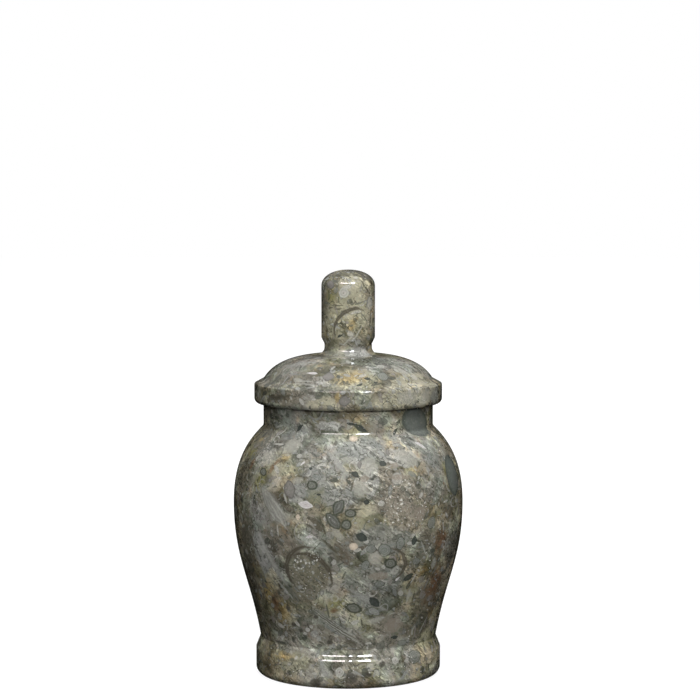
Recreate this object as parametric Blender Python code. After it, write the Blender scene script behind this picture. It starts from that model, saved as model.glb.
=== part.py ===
"""Turned stone cremation urn: a footed jar and a lift-off lid with a thumb-shaped knob.

Run with: blender --background --python part.py
Sizes are in metres, +Z is up, and the origin is the centre of the foot's underside.
Both pieces are turned about Z. An outline is a list of (radius, height) points.
"""

import math

import bmesh
import bpy

# Outer skin of the jar, from the waist above the foot to the rim
WAIST_RADIUS = 0.0386
WAIST_CREASE_ROUNDING = 0.0006
WAIST_FLARE_DEG = 79.6
WAIST_FLARE_PULL = 0.0266
BELLY_RADIUS = 0.0504
BELLY_RISE = 0.0591
BELLY_LOWER_PULL = 0.0246
BELLY_UPPER_PULL = 0.0196
SHOULDER_RISE = 0.0337
SHOULDER_SLOPE_DEG = 45.0
SHOULDER_PULL = 0.0082
NECK_RADIUS = 0.0372
NECK_HEIGHT = 0.0096
NECK_CREASE_ROUNDING = 0.0016
RIM_OUTER_ROUNDING = 0.0012

# Foot of the jar, which stands out past the waist
FOOT_OVERHANG = 0.0020
FOOT_BAND_HEIGHT = 0.0122
FOOT_LEDGE_RISE = 0.0048
FOOT_LOWER_ROUNDING = 0.0035
FOOT_UPPER_ROUNDING = 0.0025

# Hollow of the jar
RIM_WIDTH = 0.0072
RIM_INNER_ROUNDING = 0.0008
BELLY_WALL = 0.0070
FLOOR_THICKNESS = 0.0100
FLOOR_CORNER_ROUNDING = 0.0060

# Lid: the spigot that drops into the mouth, the band, the ledge and the dome
LID_SEAT_GAP = 0.0003
SPIGOT_CLEARANCE = 0.0008
SPIGOT_DEPTH = 0.0050
SPIGOT_CHAMFER = 0.0008
LID_OVERHANG = 0.0040
LID_BAND_HEIGHT = 0.0086
LID_LOWER_ROUNDING = 0.0022
LID_UPPER_ROUNDING = 0.0009
LID_LEDGE_RISE = 0.0022
LID_LEDGE_WIDTH = 0.0041
LID_CREASE_ROUNDING = 0.0006
DOME_RISE = 0.0107
DOME_START_DEG = 57.0
DOME_START_PULL = 0.0059
DOME_CREST_DEG = 2.3
DOME_CREST_PULL = 0.0174

# Knob of the lid, which stands out past its stem
STEM_RADIUS = 0.0104
STEM_HEIGHT = 0.0044
STEM_ROUNDING = 0.0030
KNOB_OVERHANG = 0.00135
KNOB_CHIN_RISE = 0.0028
KNOB_CHIN_ROUNDING = 0.0015
KNOB_SIDE_HEIGHT = 0.0226
KNOB_CROWN_RISE = 0.0070
KNOB_SIDE_PULL = 0.0042
KNOB_CROWN_PULL = 0.0068

# How finely round stretches are cut, and how close points must be to become one
TURNS = 48
CREASE_STEPS = 2
EDGE_STEPS = 3
CORNER_STEPS = 4
CROWN_STEPS = 7
HOLLOW_STEPS = 8
SKIN_STEPS = 10
MERGE_DISTANCE = 1e-6
SHARP_EDGE_DEG = 40.0

# Radii and heights that follow from the sizes above
FOOT_RADIUS = WAIST_RADIUS + FOOT_OVERHANG
MOUTH_RADIUS = NECK_RADIUS - RIM_WIDTH
LID_RADIUS = NECK_RADIUS + LID_OVERHANG
KNOB_RADIUS = STEM_RADIUS + KNOB_OVERHANG
WAIST_Z = FOOT_BAND_HEIGHT + FOOT_LEDGE_RISE
BELLY_Z = WAIST_Z + BELLY_RISE
NECK_Z = BELLY_Z + SHOULDER_RISE
RIM_Z = NECK_Z + NECK_HEIGHT
LID_Z = RIM_Z + LID_SEAT_GAP
LID_BAND_Z = LID_Z + LID_BAND_HEIGHT
DOME_Z = LID_BAND_Z + LID_LEDGE_RISE
STEM_Z = DOME_Z + DOME_RISE
CHIN_Z = STEM_Z + STEM_HEIGHT
KNOB_Z = CHIN_Z + KNOB_CHIN_RISE
CROWN_Z = KNOB_Z + KNOB_SIDE_HEIGHT

STONE_COLOUR = (0.215, 0.205, 0.160, 1.0)
STONE_ROUGHNESS = 0.16


def toward(point, angle_deg, length):
    """The point at a length from another, at an angle up from the outward direction."""
    angle = math.radians(angle_deg)
    return (point[0] + length * math.cos(angle), point[1] + length * math.sin(angle))


def curve(start, start_pull, end_pull, end, steps):
    """Points of a cubic curve from start to end, each end drawn towards its own pull point."""
    points = []
    for step in range(steps + 1):
        t = step / steps
        weights = ((1 - t) ** 3, 3 * (1 - t) ** 2 * t, 3 * (1 - t) * t**2, t**3)
        knots = (start, start_pull, end_pull, end)
        points.append(tuple(sum(w * k[i] for w, k in zip(weights, knots)) for i in (0, 1)))
    return points


def rounded(before, corner, after, radius, steps):
    """Points of the arc that rounds the corner between two straight stretches.

    The radius is limited by the shorter of the two stretches.
    """
    reach_in = math.dist(before, corner)
    reach_out = math.dist(after, corner)
    into = ((before[0] - corner[0]) / reach_in, (before[1] - corner[1]) / reach_in)
    out = ((after[0] - corner[0]) / reach_out, (after[1] - corner[1]) / reach_out)
    half_angle = math.acos(into[0] * out[0] + into[1] * out[1]) / 2
    setback = min(radius / math.tan(half_angle), 0.9 * min(reach_in, reach_out))
    radius = setback * math.tan(half_angle)
    middle = (into[0] + out[0], into[1] + out[1])
    scale = math.hypot(setback, radius) / math.hypot(*middle)
    centre = (corner[0] + middle[0] * scale, corner[1] + middle[1] * scale)
    start = (corner[0] + into[0] * setback, corner[1] + into[1] * setback)
    end = (corner[0] + out[0] * setback, corner[1] + out[1] * setback)
    first = math.degrees(math.atan2(start[1] - centre[1], start[0] - centre[0]))
    last = math.degrees(math.atan2(end[1] - centre[1], end[0] - centre[0]))
    sweep = (last - first + 180.0) % 360.0 - 180.0
    return [toward(centre, first + sweep * step / steps, radius) for step in range(steps + 1)]


def foot_outline():
    """The foot's underside, its upright band and the start of the ledge above it."""
    centre = (0.0, 0.0)
    lower = (FOOT_RADIUS, 0.0)
    upper = (FOOT_RADIUS, FOOT_BAND_HEIGHT)
    waist = (WAIST_RADIUS, WAIST_Z)
    points = [centre]
    points += rounded(centre, lower, upper, FOOT_LOWER_ROUNDING, CORNER_STEPS)
    points += rounded(lower, upper, waist, FOOT_UPPER_ROUNDING, EDGE_STEPS)
    return points


def skin_outline():
    """The outer skin from the waist's crease over belly and shoulder to the neck's crease."""
    ledge = (FOOT_RADIUS, FOOT_BAND_HEIGHT)
    waist = (WAIST_RADIUS, WAIST_Z)
    belly = (BELLY_RADIUS, BELLY_Z)
    neck = (NECK_RADIUS, NECK_Z)
    rim = (NECK_RADIUS, RIM_Z)
    rising = curve(
        waist,
        toward(waist, WAIST_FLARE_DEG, WAIST_FLARE_PULL),
        (BELLY_RADIUS, BELLY_Z - BELLY_LOWER_PULL),
        belly,
        SKIN_STEPS,
    )
    closing = curve(
        belly,
        (BELLY_RADIUS, BELLY_Z + BELLY_UPPER_PULL),
        toward(neck, -SHOULDER_SLOPE_DEG, SHOULDER_PULL),
        neck,
        SKIN_STEPS,
    )
    points = rounded(ledge, waist, rising[1], WAIST_CREASE_ROUNDING, CREASE_STEPS)
    points += rising[1:-1] + closing[:-1]
    points += rounded(closing[-2], neck, rim, NECK_CREASE_ROUNDING, EDGE_STEPS)
    return points


def hollow_outline():
    """The rim and the hollow, which follows the skin down to the middle of the floor."""
    neck = (NECK_RADIUS, NECK_Z)
    rim = (NECK_RADIUS, RIM_Z)
    mouth = (MOUTH_RADIUS, RIM_Z)
    throat = (MOUTH_RADIUS, NECK_Z - RIM_WIDTH * math.tan(math.radians(SHOULDER_SLOPE_DEG / 2)))
    widest = (BELLY_RADIUS - BELLY_WALL, BELLY_Z)
    heel = (WAIST_RADIUS - BELLY_WALL, WAIST_Z)
    drop = (WAIST_Z - FLOOR_THICKNESS) / math.sin(math.radians(WAIST_FLARE_DEG))
    corner = toward(heel, WAIST_FLARE_DEG - 180.0, drop)
    floor = (0.0, FLOOR_THICKNESS)
    opening = curve(
        throat,
        toward(throat, -SHOULDER_SLOPE_DEG, SHOULDER_PULL),
        (widest[0], BELLY_Z + BELLY_UPPER_PULL),
        widest,
        HOLLOW_STEPS,
    )
    falling = curve(
        widest,
        (widest[0], BELLY_Z - BELLY_LOWER_PULL),
        toward(heel, WAIST_FLARE_DEG, WAIST_FLARE_PULL),
        heel,
        HOLLOW_STEPS,
    )
    points = rounded(neck, rim, mouth, RIM_OUTER_ROUNDING, EDGE_STEPS)
    points += rounded(rim, mouth, throat, RIM_INNER_ROUNDING, CREASE_STEPS)
    points += opening[:-1] + falling
    points += rounded(heel, corner, floor, FLOOR_CORNER_ROUNDING, EDGE_STEPS)
    return points + [floor]


def spigot_outline():
    """The lid's spigot, from its middle out to the flat underside that sits on the rim."""
    radius = MOUTH_RADIUS - SPIGOT_CLEARANCE
    bottom = LID_Z - SPIGOT_DEPTH
    return [
        (0.0, bottom),
        (radius - SPIGOT_CHAMFER, bottom),
        (radius, bottom + SPIGOT_CHAMFER),
        (radius, LID_Z),
    ]


def cover_outline():
    """The lid's band, ledge and dome, up to the last stretch before the stem."""
    seat = (MOUTH_RADIUS, LID_Z)
    lower = (LID_RADIUS, LID_Z)
    upper = (LID_RADIUS, LID_BAND_Z)
    crease = (LID_RADIUS - LID_LEDGE_WIDTH, DOME_Z)
    stem = (STEM_RADIUS, STEM_Z)
    dome = curve(
        crease,
        toward(crease, 180.0 - DOME_START_DEG, DOME_START_PULL),
        toward(stem, -DOME_CREST_DEG, DOME_CREST_PULL),
        stem,
        SKIN_STEPS,
    )
    points = rounded(seat, lower, upper, LID_LOWER_ROUNDING, CORNER_STEPS)
    points += rounded(lower, upper, crease, LID_UPPER_ROUNDING, EDGE_STEPS)
    points += rounded(upper, crease, dome[1], LID_CREASE_ROUNDING, CREASE_STEPS)
    return points + dome[1:-1]


def knob_outline(dome_end):
    """The stem, the knob's chin, its upright side and its crown, ending on the axis."""
    stem = (STEM_RADIUS, STEM_Z)
    chin = (STEM_RADIUS, CHIN_Z)
    side = (KNOB_RADIUS, KNOB_Z)
    crown = (KNOB_RADIUS, CROWN_Z)
    top = (0.0, CROWN_Z + KNOB_CROWN_RISE)
    points = rounded(dome_end, stem, chin, STEM_ROUNDING, CORNER_STEPS)
    points += [chin]
    points += rounded(chin, side, crown, KNOB_CHIN_ROUNDING, EDGE_STEPS)
    points += curve(
        crown,
        (KNOB_RADIUS, CROWN_Z + KNOB_SIDE_PULL),
        (KNOB_CROWN_PULL, top[1]),
        top,
        CROWN_STEPS,
    )
    return points


def jar_outline():
    """The whole jar, from the middle of the underside to the middle of the floor."""
    return foot_outline() + skin_outline() + hollow_outline()


def lid_outline():
    """The whole lid, from the middle of the spigot to the top of the knob."""
    cover = cover_outline()
    return spigot_outline() + cover + knob_outline(cover[-1])


def turned(name, outline, material):
    """One closed solid: an outline that starts and ends on the axis, spun about Z."""
    shape = bmesh.new()
    points = [shape.verts.new((radius, 0.0, height)) for radius, height in outline]
    lines = [shape.edges.new(ends) for ends in zip(points, points[1:])]
    bmesh.ops.spin(
        shape,
        geom=points + lines,
        cent=(0.0, 0.0, 0.0),
        axis=(0.0, 0.0, 1.0),
        angle=math.tau,
        steps=TURNS,
        use_merge=True,
    )
    bmesh.ops.remove_doubles(shape, verts=shape.verts, dist=MERGE_DISTANCE)
    bmesh.ops.recalc_face_normals(shape, faces=shape.faces)
    mesh = bpy.data.meshes.new(name)
    shape.to_mesh(mesh)
    shape.free()
    mesh.materials.append(material)
    mesh.shade_smooth()
    mesh.set_sharp_from_angle(angle=math.radians(SHARP_EDGE_DEG))
    piece = bpy.data.objects.new(name, mesh)
    bpy.context.scene.collection.objects.link(piece)
    return piece


def polished_stone():
    """Grey-brown fossil limestone, polished."""
    material = bpy.data.materials.new("polished_stone")
    material.use_nodes = True
    shader = material.node_tree.nodes["Principled BSDF"]
    shader.inputs["Base Color"].default_value = STONE_COLOUR
    shader.inputs["Roughness"].default_value = STONE_ROUGHNESS
    shader.inputs["Metallic"].default_value = 0.0
    return material


def main():
    """Clears the scene and turns the two pieces."""
    for thing in list(bpy.data.objects):
        bpy.data.objects.remove(thing)
    stone = polished_stone()
    turned("urn_jar", jar_outline(), stone)
    turned("urn_lid", lid_outline(), stone)


main()
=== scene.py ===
"""Looks of a small cremation urn, turned from fossil limestone and polished.

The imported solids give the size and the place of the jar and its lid. This script turns both again
with a finer outline, cuts them from one procedural block of fossil stone, and sets up a plain studio.
Lengths are metres unless a name ends in _mm. An outline is a list of (radius, height) points.
"""

import logging
import math
from dataclasses import dataclass
from enum import Enum
from typing import Any, Sequence

import bpy
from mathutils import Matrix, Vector


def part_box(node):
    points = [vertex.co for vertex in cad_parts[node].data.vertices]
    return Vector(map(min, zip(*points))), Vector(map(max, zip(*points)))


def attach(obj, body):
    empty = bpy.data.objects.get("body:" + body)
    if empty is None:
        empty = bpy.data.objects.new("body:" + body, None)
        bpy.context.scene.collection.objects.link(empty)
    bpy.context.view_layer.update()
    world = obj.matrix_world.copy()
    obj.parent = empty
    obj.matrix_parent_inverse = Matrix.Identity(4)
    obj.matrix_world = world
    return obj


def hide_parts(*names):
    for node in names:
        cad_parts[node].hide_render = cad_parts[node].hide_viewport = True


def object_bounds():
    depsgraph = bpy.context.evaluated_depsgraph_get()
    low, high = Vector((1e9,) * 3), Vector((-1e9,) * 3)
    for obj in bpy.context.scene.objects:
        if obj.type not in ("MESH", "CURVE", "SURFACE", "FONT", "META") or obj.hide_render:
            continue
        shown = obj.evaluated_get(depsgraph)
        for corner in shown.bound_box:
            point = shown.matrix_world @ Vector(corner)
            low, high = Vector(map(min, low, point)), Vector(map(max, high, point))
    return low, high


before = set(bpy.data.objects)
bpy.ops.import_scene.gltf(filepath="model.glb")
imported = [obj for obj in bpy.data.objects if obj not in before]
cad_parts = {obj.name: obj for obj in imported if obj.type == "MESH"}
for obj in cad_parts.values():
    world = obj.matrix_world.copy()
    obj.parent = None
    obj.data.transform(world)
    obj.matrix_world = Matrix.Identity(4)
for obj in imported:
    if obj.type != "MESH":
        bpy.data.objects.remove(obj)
CAD_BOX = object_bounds()

Point = tuple[float, float]
Span = tuple[float, float]
Trio = tuple[float, float, float]
Colour = tuple[float, float, float]
Stops = tuple[tuple[float, Colour], ...]
Skins = Sequence[Sequence[Point]]
Socket = bpy.types.NodeSocket
Feed = Socket | float | Sequence[float]

PHOTO_PIXELS = 700.0
MM_PER_M = 1000.0
BITE = -0.28
WHITE, PINKISH, BLUISH = (1.0, 1.0, 1.0), (1.0, 0.90, 0.92), (0.92, 0.96, 1.0)
log = logging.getLogger("urn")


def placed(name: str, data: bpy.types.ID) -> bpy.types.Object:
    """Puts a new object in the scene, at the origin."""
    thing = bpy.data.objects.new(name, data)
    bpy.context.scene.collection.objects.link(thing)
    return thing


def toward(point: Point, angle_deg: float, length: float) -> Point:
    """The point at a length from another.

    Args:
        point: Where to start.
        angle_deg: The direction, up from the outward direction.
        length: How far to go.

    Returns:
        The point reached.
    """
    angle = math.radians(angle_deg)
    return (point[0] + length * math.cos(angle), point[1] + length * math.sin(angle))


def curve(start: Point, start_pull: Point, end_pull: Point, end: Point, steps: int) -> list[Point]:
    """Points of a cubic curve.

    Args:
        start: First point.
        start_pull: Point that the curve sets out towards.
        end_pull: Point that the curve arrives from.
        end: Last point.
        steps: How many stretches the curve is cut into.

    Returns:
        The points, both ends among them.
    """
    knots = (start, start_pull, end_pull, end)
    points = []
    for step in range(steps + 1):
        t = step / steps
        weights = ((1 - t) ** 3, 3 * (1 - t) ** 2 * t, 3 * (1 - t) * t**2, t**3)
        points.append(tuple(sum(w * k[i] for w, k in zip(weights, knots)) for i in (0, 1)))
    return points


def rounded(before: Point, corner: Point, after: Point, radius: float, steps: int) -> list[Point]:
    """Points of the arc that rounds the corner between two straight stretches.

    Args:
        before: A point on the stretch that comes in.
        corner: The corner itself.
        after: A point on the stretch that goes out.
        radius: The arc's radius.
        steps: How many stretches the arc is cut into.

    Returns:
        The arc's points, both ends among them.
    """
    reach_in, reach_out = math.dist(before, corner), math.dist(after, corner)
    into = ((before[0] - corner[0]) / reach_in, (before[1] - corner[1]) / reach_in)
    out = ((after[0] - corner[0]) / reach_out, (after[1] - corner[1]) / reach_out)
    half_angle = math.acos(into[0] * out[0] + into[1] * out[1]) / 2
    setback = radius / math.tan(half_angle)
    middle = (into[0] + out[0], into[1] + out[1])
    scale = math.hypot(setback, radius) / math.hypot(*middle)
    centre = (corner[0] + middle[0] * scale, corner[1] + middle[1] * scale)
    start = (corner[0] + into[0] * setback, corner[1] + into[1] * setback)
    end = (corner[0] + out[0] * setback, corner[1] + out[1] * setback)
    first = math.degrees(math.atan2(start[1] - centre[1], start[0] - centre[0]))
    last = math.degrees(math.atan2(end[1] - centre[1], end[0] - centre[0]))
    sweep = (last - first + 180.0) % 360.0 - 180.0
    return [toward(centre, first + sweep * step / steps, radius) for step in range(steps + 1)]


class Graph:
    """A node tree with short calls for the nodes that the stone needs."""

    def __init__(self, tree: bpy.types.NodeTree) -> None:
        """Takes over an existing tree."""
        self.tree = tree

    def feed(self, socket: Socket, value: Feed) -> None:
        """Links a socket to another, or sets its value.

        Args:
            socket: The input.
            value: A socket, a number, or a row of numbers.
        """
        if isinstance(value, bpy.types.NodeSocket):
            self.tree.links.new(value, socket)
        elif isinstance(value, (int, float)) and socket.type in ("VECTOR", "RGBA"):
            socket.default_value = [value] * len(socket.default_value)
        elif socket.type == "RGBA" and len(value) == 3:
            socket.default_value = (*value, 1.0)
        else:
            socket.default_value = value

    def node(self, kind: str, feeds: dict[Any, Feed] | None = None, **settings: Any) -> bpy.types.Node:
        """Adds a node.

        Args:
            kind: Blender's name of the node type.
            feeds: Values or sockets for its inputs, by name or number.
            settings: The node's own settings.

        Returns:
            The new node.
        """
        made = self.tree.nodes.new(kind)
        for name, value in settings.items():
            setattr(made, name, value)
        for key, value in (feeds or {}).items():
            self.feed(made.inputs[key], value)
        return made

    def math(self, operation: str, a: Feed, b: Feed = 0.0, c: Feed = 0.0) -> Socket:
        """Arithmetic on numbers; returns the result's socket."""
        return self.node("ShaderNodeMath", {0: a, 1: b, 2: c}, operation=operation).outputs[0]

    def product(self, first: Feed, second: Feed, third: Feed) -> Socket:
        """Three numbers multiplied."""
        return self.math("MULTIPLY", self.math("MULTIPLY", first, second), third)

    def vector(self, operation: str, a: Feed, b: Feed = 0.0) -> Socket:
        """Arithmetic on vectors; returns the result's socket."""
        made = self.node("ShaderNodeVectorMath", {0: a, 1: b}, operation=operation)
        return made.outputs["Value" if operation in ("LENGTH", "DOT_PRODUCT", "DISTANCE") else "Vector"]

    def scaled(self, value: Feed, factor: float) -> Socket:
        """A vector times a number."""
        return self.node("ShaderNodeVectorMath", {0: value, "Scale": factor}, operation="SCALE").outputs[0]

    def parts(self, value: Socket) -> bpy.types.NodeOutputs:
        """The three numbers in a vector or a colour, as the outputs X, Y and Z."""
        return self.node("ShaderNodeSeparateXYZ", {0: value}).outputs

    def pointed(self, along: Socket, rest: Socket) -> Socket:
        """Distance from the middle of a shape with two pointed ends, 1 at its edge.

        Args:
            along: How far along the shape, 1 at its points.
            rest: A vector with how far off its long line, 1 at its widest.

        Returns:
            The distance's socket.
        """
        return self.math("MULTIPLY_ADD", along, along, self.vector("LENGTH", rest))

    def noise(
        self, place: Socket, scale: float, detail: float, roughness: float = 0.5, colour: bool = False
    ) -> Socket:
        """Cloudy noise.

        Args:
            place: Where to read it.
            scale: Clouds per unit of length.
            detail: How many finer layers are added.
            roughness: How strong the finer layers are.
            colour: True for three numbers, False for one.

        Returns:
            The noise, from about 0 to 1.
        """
        feeds = {"Vector": place, "Scale": scale, "Detail": detail, "Roughness": roughness}
        made = self.node("ShaderNodeTexNoise", feeds, noise_dimensions="3D")
        return made.outputs["Color" if colour else "Fac"]

    def patches(
        self, place: Socket, scale: float, detail: float, span: Span, share: Span = (0.0, 1.0),
        shift: float = 0.0, roughness: float = 0.5,
    ) -> Socket:
        """Soft patches of noise.

        Args:
            place: Where to read them.
            scale: Patches per unit of length.
            detail: How many finer layers are added.
            span: The noise between patches, and in them.
            share: The result between patches, and in them.
            shift: Keeps these patches apart from the others.
            roughness: How strong the finer layers are.

        Returns:
            The share's socket.
        """
        spot = self.vector("ADD", place, shift) if shift else place
        return self.step(self.noise(spot, scale, detail, roughness), *span, *share)

    def cells(self, place: Socket, scale: float, randomness: float = 1.0) -> bpy.types.NodeOutputs:
        """Cells round scattered seeds; returns the outputs with their distances, colours and seeds."""
        feeds = {"Vector": place, "Scale": scale, "Randomness": randomness}
        return self.node("ShaderNodeTexVoronoi", feeds).outputs

    def cracks(self, place: Socket, scale: float) -> Socket:
        """Distance from the nearest border between cells."""
        feeds = {"Vector": place, "Scale": scale}
        return self.node("ShaderNodeTexVoronoi", feeds, feature="DISTANCE_TO_EDGE").outputs["Distance"]

    def swirl(self, place: Socket, scale: float, reach: float, detail: float) -> Socket:
        """Shifts a place by up to about half of reach, in clouds of a scale."""
        drift = self.vector("SUBTRACT", self.noise(place, scale, detail, colour=True), 0.5)
        return self.vector("ADD", place, self.scaled(drift, reach))

    def crumble(self, place: Socket, below: Socket, reach: float = 1.0) -> Socket:
        """Shifts a place by the shade of the stone below, which crumbles the edges of what lies on it."""
        return self.vector("ADD", place, self.scaled(below, reach))

    def bedding(self, place: Socket, turn: Trio, size: Trio, shift: float = 0.0) -> Socket:
        """Turns a place and divides it by a size, for what lies the way that the mud slid."""
        feeds = {"Vector": place, "Location": (shift, 0.0, 0.0), "Rotation": turn, "Scale": size}
        return self.node("ShaderNodeMapping", feeds, vector_type="TEXTURE").outputs[0]

    def step(self, value: Feed, low: Feed, high: Feed, at_low: Feed = 0.0, at_high: Feed = 1.0) -> Socket:
        """A soft step: at_low below low, at_high above high, and a smooth change between them."""
        feeds = {"Value": value, "From Min": low, "From Max": high, "To Min": at_low, "To Max": at_high}
        return self.node("ShaderNodeMapRange", feeds, interpolation_type="SMOOTHSTEP").outputs[0]

    def mix(self, share: Feed, a: Feed, b: Feed, blend: str = "MIX") -> Socket:
        """Mixes two colours; share 0 gives a and share 1 gives b."""
        feeds = {0: share, 6: a, 7: b}
        made = self.node("ShaderNodeMix", feeds, data_type="RGBA", blend_type=blend)
        return made.outputs[2]

    def ramp(self, value: Feed, stops: Sequence[tuple[float, Colour]], hold: bool = False) -> Socket:
        """Colours along a scale.

        Args:
            value: Where on the scale to read.
            stops: Places on the scale, each with its colour.
            hold: True if a colour holds up to the next stop, False for even changes.

        Returns:
            The colour's socket.
        """
        made = self.node("ShaderNodeValToRGB", {0: value})
        made.color_ramp.interpolation = "CONSTANT" if hold else "LINEAR"
        elements = made.color_ramp.elements
        elements[0].position, elements[1].position = stops[0][0], stops[-1][0]
        for place, _ in stops[1:-1]:
            elements.new(place)
        for element, (_, shade) in zip(elements, stops):
            element.color = (*shade, 1.0)
        return made.outputs[0]


@dataclass
class Lathe:
    """Turns outlines about Z with a Geometry Nodes tree."""

    turns: int = 256
    weld: float = 1e-6

    def tree(self) -> bpy.types.NodeTree:
        """Builds the tree.

        A grid as wide as the turns and as tall as the outline's points is rolled up about Z, and
        each of its rows takes the radius and the height of one point of the outline.

        Returns:
            The tree, with inputs Outline, Turns, Rows, Weld and Finish.
        """
        tree = bpy.data.node_groups.new("turned_outline", "GeometryNodeTree")
        socket = tree.interface.new_socket
        socket("Outline", in_out="INPUT", socket_type="NodeSocketGeometry")
        socket("Turns", in_out="INPUT", socket_type="NodeSocketInt")
        socket("Rows", in_out="INPUT", socket_type="NodeSocketInt")
        socket("Weld", in_out="INPUT", socket_type="NodeSocketFloat")
        socket("Finish", in_out="INPUT", socket_type="NodeSocketMaterial")
        socket("Piece", in_out="OUTPUT", socket_type="NodeSocketGeometry")
        graph = Graph(tree)
        given = graph.node("NodeGroupInput").outputs
        columns = graph.math("ADD", given["Turns"], 1.0)
        feeds = {"Size X": 1.0, "Size Y": 1.0, "Vertices X": columns, "Vertices Y": given["Rows"]}
        grid = graph.node("GeometryNodeMeshGrid", feeds)
        place = graph.node("GeometryNodeInputPosition").outputs[0]
        flat = graph.parts(place)
        angle = graph.math("MULTIPLY", graph.math("ADD", flat["X"], 0.5), math.tau)
        last_row = graph.math("SUBTRACT", given["Rows"], 1.0)
        row = graph.math("ROUND", graph.math("MULTIPLY", graph.math("ADD", flat["Y"], 0.5), last_row))
        sample = graph.node("GeometryNodeSampleIndex", data_type="FLOAT_VECTOR", domain="POINT")
        graph.feed(sample.inputs["Geometry"], given["Outline"])
        graph.feed(sample.inputs["Value"], place)
        graph.feed(sample.inputs["Index"], row)
        feeds = {"Vector": sample.outputs[0], "Angle": angle}
        rolled = graph.node("ShaderNodeVectorRotate", feeds, rotation_type="Z_AXIS")
        feeds = {"Geometry": grid.outputs["Mesh"], "Position": rolled.outputs[0]}
        moved = graph.node("GeometryNodeSetPosition", feeds)
        feeds = {"Geometry": moved.outputs[0], "Distance": given["Weld"]}
        welded = graph.node("GeometryNodeMergeByDistance", feeds)
        smooth = graph.node("GeometryNodeSetShadeSmooth", {"Geometry": welded.outputs[0]})
        real = graph.node("GeometryNodeRealizeInstances", {"Geometry": smooth.outputs[0]})
        dressed = graph.node("GeometryNodeSetMaterial", {"Geometry": real.outputs[0]})
        graph.feed(dressed.inputs["Material"], given["Finish"])
        graph.node("NodeGroupOutput", {"Piece": dressed.outputs[0]})
        return tree

    def turn(self, name: str, outline: list[Point], finish: bpy.types.Material) -> bpy.types.Object:
        """Turns one closed piece.

        Args:
            name: The piece's name.
            outline: Points that start and end on the axis.
            finish: The piece's material.

        Returns:
            The piece, as a plain mesh.
        """
        line = bpy.data.meshes.new(name)
        corners = [(radius, 0.0, height) for radius, height in outline]
        line.from_pydata(corners, [(i, i + 1) for i in range(len(corners) - 1)], [])
        piece = placed(name, line)
        modifier = piece.modifiers.new("turned", "NODES")
        modifier.node_group = bpy.data.node_groups.get("turned_outline") or self.tree()
        values = {"Turns": self.turns, "Rows": len(outline), "Weld": self.weld, "Finish": finish}
        for item in modifier.node_group.interface.items_tree:
            if item.in_out == "INPUT" and item.name in values:
                modifier[item.identifier] = values[item.name]
        piece.update_tag()
        graph = bpy.context.evaluated_depsgraph_get()
        mesh = bpy.data.meshes.new_from_object(piece.evaluated_get(graph))
        piece.modifiers.remove(modifier)
        piece.data = mesh
        bpy.data.meshes.remove(line)
        mesh.name = name
        return piece


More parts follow.
